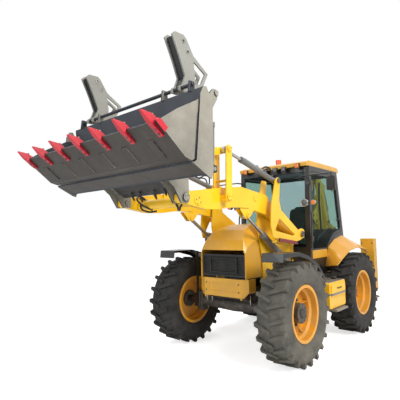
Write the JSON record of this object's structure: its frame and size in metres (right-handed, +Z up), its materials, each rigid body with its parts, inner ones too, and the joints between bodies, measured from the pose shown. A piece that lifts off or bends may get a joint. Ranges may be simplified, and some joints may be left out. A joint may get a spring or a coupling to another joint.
{
  "type": "backhoe loader",
  "caption": "Four-wheel backhoe loader with a raised loader, split bucket with folded pallet-fork carriers, cab, stabilisers and a folded side-shift backhoe.",
  "frame": {"origin": "middle of the machine's overall length and width, on the ground under the tyres", "axes": "+X forward along the machine, +Y to its left, +Z up"},
  "size_m": [7.5968, 2.472, 3.9069],
  "materials": {
    "dark_steel": "satin",
    "yellow_paint": "gloss",
    "amber_paint": "satin",
    "black_paint": "satin",
    "tinted_glass": "clear",
    "seat_fabric": "matt",
    "black_plastic": "matt",
    "tyre": "matt",
    "bucket_grey": "worn",
    "red_paint": "satin",
    "light_grey_paint": "satin",
    "grey_paint": "satin",
    "rod_chrome": "polished"
  },
  "bodies": {
    "chassis": {"chassis_frame": "dark_steel", "loader_towers": "yellow_paint", "engine_block": "dark_steel", "hood": "amber_paint", "front_grille": "dark_steel", "front_bumper": "amber_paint", "front_axle": "dark_steel", "rear_axle": "dark_steel", "cab_frame": "black_paint", "cab_glass": "tinted_glass", "cab_roof": "amber_paint", "cab_seat": "seat_fabric", "cab_console": "black_plastic", "body_panels": "amber_paint", "lamps_and_mirrors": "black_plastic", "rear_frame": "dark_steel"},
    "knuckle_left": {"knuckle_left": "black_plastic"},
    "knuckle_right": {"knuckle_right": "black_plastic"},
    "wheel_front_left": {"tyre_front_left": "tyre", "rim_front_left": "amber_paint"},
    "wheel_front_right": {"tyre_front_right": "tyre", "rim_front_right": "amber_paint"},
    "wheel_rear_left": {"tyre_rear_left": "tyre", "rim_rear_left": "amber_paint"},
    "wheel_rear_right": {"tyre_rear_right": "tyre", "rim_rear_right": "amber_paint"},
    "loader_arm": {"loader_arm": "yellow_paint"},
    "levers": {"levers": "yellow_paint"},
    "links": {"links": "yellow_paint"},
    "bucket": {"bucket_back": "bucket_grey"},
    "clam": {"bucket_clam": "bucket_grey", "bucket_teeth": "red_paint"},
    "fork_carriers": {"fork_carriers": "light_grey_paint"},
    "door_left": {"door_left": "black_paint", "door_glass_left": "tinted_glass"},
    "door_right": {"door_right": "black_paint", "door_glass_right": "tinted_glass"},
    "carriage": {"carriage": "yellow_paint"},
    "kingpost": {"kingpost": "yellow_paint"},
    "boom": {"boom": "yellow_paint"},
    "dipper": {"dipper": "yellow_paint"},
    "digger_bucket": {"digger_bucket": "bucket_grey"},
    "rocker": {"rocker": "yellow_paint"},
    "digger_link": {"digger_link": "yellow_paint"},
    "stabiliser_left": {"stabiliser_left": "yellow_paint"},
    "stabiliser_right": {"stabiliser_right": "yellow_paint"},
    "lift_barrels": {"lift_barrels": "grey_paint"},
    "lift_rods": {"lift_rods": "rod_chrome"},
    "tilt_barrels": {"tilt_barrels": "grey_paint"},
    "tilt_rods": {"tilt_rods": "rod_chrome"},
    "clam_barrels": {"clam_barrels": "grey_paint"},
    "clam_rods": {"clam_rods": "rod_chrome"},
    "boom_barrel": {"boom_barrel": "grey_paint"},
    "boom_rod": {"boom_rod": "rod_chrome"},
    "dipper_barrel": {"dipper_barrel": "grey_paint"},
    "dipper_rod": {"dipper_rod": "rod_chrome"},
    "digger_barrel": {"digger_barrel": "grey_paint"},
    "digger_rod": {"digger_rod": "rod_chrome"}
  },
  "joints": [
    {"name": "steer_left", "type": "hinge", "parent": "chassis", "child": "knuckle_left", "pos_m": [0.938, 0.713, 0.69], "axis": [0, 0, 1], "range_deg": [-18, 18]},
    {"name": "steer_right", "type": "hinge", "parent": "chassis", "child": "knuckle_right", "pos_m": [0.938, -0.713, 0.69], "axis": [0, 0, 1], "range_deg": [-18, 18]},
    {"name": "spin_front_left", "type": "hinge", "parent": "knuckle_left", "child": "wheel_front_left", "pos_m": [0.938, 0.99, 0.69], "axis": [0, 1, 0], "continuous": true},
    {"name": "spin_front_right", "type": "hinge", "parent": "knuckle_right", "child": "wheel_front_right", "pos_m": [0.938, -0.99, 0.69], "axis": [0, 1, 0], "continuous": true},
    {"name": "spin_rear_left", "type": "hinge", "parent": "chassis", "child": "wheel_rear_left", "pos_m": [-1.262, 0.99, 0.69], "axis": [0, 1, 0], "continuous": true},
    {"name": "spin_rear_right", "type": "hinge", "parent": "chassis", "child": "wheel_rear_right", "pos_m": [-1.262, -0.99, 0.69], "axis": [0, 1, 0], "continuous": true},
    {"name": "loader_lift", "type": "hinge", "parent": "chassis", "child": "loader_arm", "pos_m": [0.018, 0, 1.735], "axis": [0, -1, 0], "range_deg": [-45, 30]},
    {"name": "bucket_tilt", "type": "hinge", "parent": "loader_arm", "child": "bucket", "pos_m": [2.626, 0, 2.202], "axis": [0, -1, 0], "range_deg": [-70, 25]},
    {"name": "clam_open", "type": "hinge", "parent": "bucket", "child": "clam", "pos_m": [2.938, 0, 3.02], "axis": [0, -1, 0], "range_deg": [0, 60]},
    {"name": "forks_fold", "type": "hinge", "parent": "bucket", "child": "fork_carriers", "pos_m": [2.928, 0, 3.315], "axis": [0, -1, 0], "range_deg": [-100, 0]},
    {"name": "lever_turn", "type": "hinge", "parent": "loader_arm", "child": "levers", "pos_m": [1.908, 0, 2.23], "axis": [0, -1, 0], "range_deg": [-51.03, 18.55]},
    {"name": "link_turn", "type": "hinge", "parent": "levers", "child": "links", "pos_m": [1.888, 0, 2.85], "axis": [0, -1, 0], "range_deg": [-16.02, 43.96]},
    {"name": "lift_barrel_turn", "type": "hinge", "parent": "chassis", "child": "lift_barrels", "pos_m": [0.188, 0, 1.27], "axis": [0, -1, 0], "range_deg": [-44.01, 29.5]},
    {"name": "lift_rod_slide", "type": "slide", "parent": "lift_barrels", "child": "lift_rods", "axis": [0.8419, 0, 0.5397], "range_m": [-0.3704, 0.2476]},
    {"name": "tilt_barrel_turn", "type": "hinge", "parent": "chassis", "child": "tilt_barrels", "pos_m": [0.703, 0, 2.545], "axis": [0, -1, 0], "range_deg": [-64.78, 43.35]},
    {"name": "tilt_rod_slide", "type": "slide", "parent": "tilt_barrels", "child": "tilt_rods", "axis": [0.9684, 0, 0.2493], "range_m": [-0.1748, 0.4859]},
    {"name": "clam_barrel_turn", "type": "hinge", "parent": "bucket", "child": "clam_barrels", "pos_m": [2.823, 0, 2.43], "axis": [0, -1, 0], "range_deg": [-0.5, 11.11]},
    {"name": "clam_rod_slide", "type": "slide", "parent": "clam_barrels", "child": "clam_rods", "axis": [-0.0325, 0, 0.9995], "range_m": [-0.1948, 0.002]},
    {"name": "door_left_open", "type": "hinge", "parent": "chassis", "child": "door_left", "pos_m": [-0.294, 0.714, 2.1], "axis": [0, 0, -1], "range_deg": [0, 80]},
    {"name": "door_right_open", "type": "hinge", "parent": "chassis", "child": "door_right", "pos_m": [-0.294, -0.714, 2.1], "axis": [0, 0, 1], "range_deg": [0, 80]},
    {"name": "side_shift", "type": "slide", "parent": "chassis", "child": "carriage", "axis": [0, 1, 0], "range_m": [-0.05, 0.85]},
    {"name": "swing", "type": "hinge", "parent": "carriage", "child": "kingpost", "pos_m": [-2.812, -0.4, 0.9], "axis": [0, 0, 1], "range_deg": [-90, 90]},
    {"name": "boom_lower", "type": "hinge", "parent": "kingpost", "child": "boom", "pos_m": [-3.042, -0.4, 0.8], "axis": [0, -1, 0], "range_deg": [0, 85]},
    {"name": "dipper_reach", "type": "hinge", "parent": "boom", "child": "dipper", "pos_m": [-2.922, -0.4, 3.1], "axis": [0, 1, 0], "range_deg": [0, 110]},
    {"name": "digger_dump", "type": "hinge", "parent": "dipper", "child": "digger_bucket", "pos_m": [-3.522, -0.4, 1.5], "axis": [0, 1, 0], "range_deg": [0, 80]},
    {"name": "boom_barrel_turn", "type": "hinge", "parent": "kingpost", "child": "boom_barrel", "pos_m": [-2.762, -0.4, 1.22], "axis": [0, -1, 0], "range_deg": [-0.5, 97.4]},
    {"name": "boom_rod_slide", "type": "slide", "parent": "boom_barrel", "child": "boom_rod", "axis": [0.1961, 0, 0.9806], "range_m": [-0.002, 0.6206]},
    {"name": "dipper_barrel_turn", "type": "hinge", "parent": "boom", "child": "dipper_barrel", "pos_m": [-2.73, -0.4, 1.99], "axis": [0, 1, 0], "range_deg": [-0.5, 3.04]},
    {"name": "dipper_rod_slide", "type": "slide", "parent": "dipper_barrel", "child": "dipper_rod", "axis": [0.0133, 0, 0.9999], "range_m": [-0.5309, 0.002]},
    {"name": "rocker_turn", "type": "hinge", "parent": "dipper", "child": "rocker", "pos_m": [-3.346, -0.4, 1.968], "axis": [0, 1, 0], "range_deg": [-0.5, 41.72]},
    {"name": "digger_link_turn", "type": "hinge", "parent": "rocker", "child": "digger_link", "pos_m": [-3.693, -0.4, 1.807], "axis": [0, 1, 0], "range_deg": [-61.17, 0.5]},
    {"name": "digger_barrel_turn", "type": "hinge", "parent": "dipper", "child": "digger_barrel", "pos_m": [-3.292, -0.4, 2.83], "axis": [0, 1, 0], "range_deg": [-0.5, 8.85]},
    {"name": "digger_rod_slide", "type": "slide", "parent": "digger_barrel", "child": "digger_rod", "axis": [-0.3649, 0, -0.931], "range_m": [-0.2304, 0.002]},
    {"name": "stabiliser_left_drop", "type": "slide", "parent": "chassis", "child": "stabiliser_left", "axis": [0, 0, -1], "range_m": [0, 0.39]},
    {"name": "stabiliser_right_drop", "type": "slide", "parent": "chassis", "child": "stabiliser_right", "axis": [0, 0, -1], "range_m": [0, 0.39]}
  ],
  "couplings": [
    {"joint": "steer_right", "follows": "steer_left", "ratio": 1},
    {"joint": "lever_turn", "follows": "bucket_tilt", "ratio": 0.7219},
    {"joint": "link_turn", "follows": "bucket_tilt", "ratio": -0.6209},
    {"joint": "lift_barrel_turn", "follows": "loader_lift", "ratio": 0.9668},
    {"joint": "lift_rod_slide", "follows": "loader_lift", "m_per_rad": 0.469},
    {"joint": "tilt_barrel_turn", "follows": "loader_lift", "ratio": 1.4284},
    {"joint": "tilt_rod_slide", "follows": "bucket_tilt", "m_per_rad": -0.3961},
    {"joint": "clam_barrel_turn", "follows": "clam_open", "ratio": 0.1769},
    {"joint": "clam_rod_slide", "follows": "clam_open", "m_per_rad": -0.1841},
    {"joint": "boom_barrel_turn", "follows": "boom_lower", "ratio": 1.14},
    {"joint": "boom_rod_slide", "follows": "boom_lower", "m_per_rad": 0.417},
    {"joint": "dipper_barrel_turn", "follows": "dipper_reach", "ratio": 0.0231},
    {"joint": "dipper_rod_slide", "follows": "dipper_reach", "m_per_rad": -0.2755},
    {"joint": "rocker_turn", "follows": "digger_dump", "ratio": 0.5152},
    {"joint": "digger_link_turn", "follows": "digger_dump", "ratio": -0.7584},
    {"joint": "digger_barrel_turn", "follows": "digger_dump", "ratio": 0.1044},
    {"joint": "digger_rod_slide", "follows": "digger_dump", "m_per_rad": -0.1636}
  ]
}
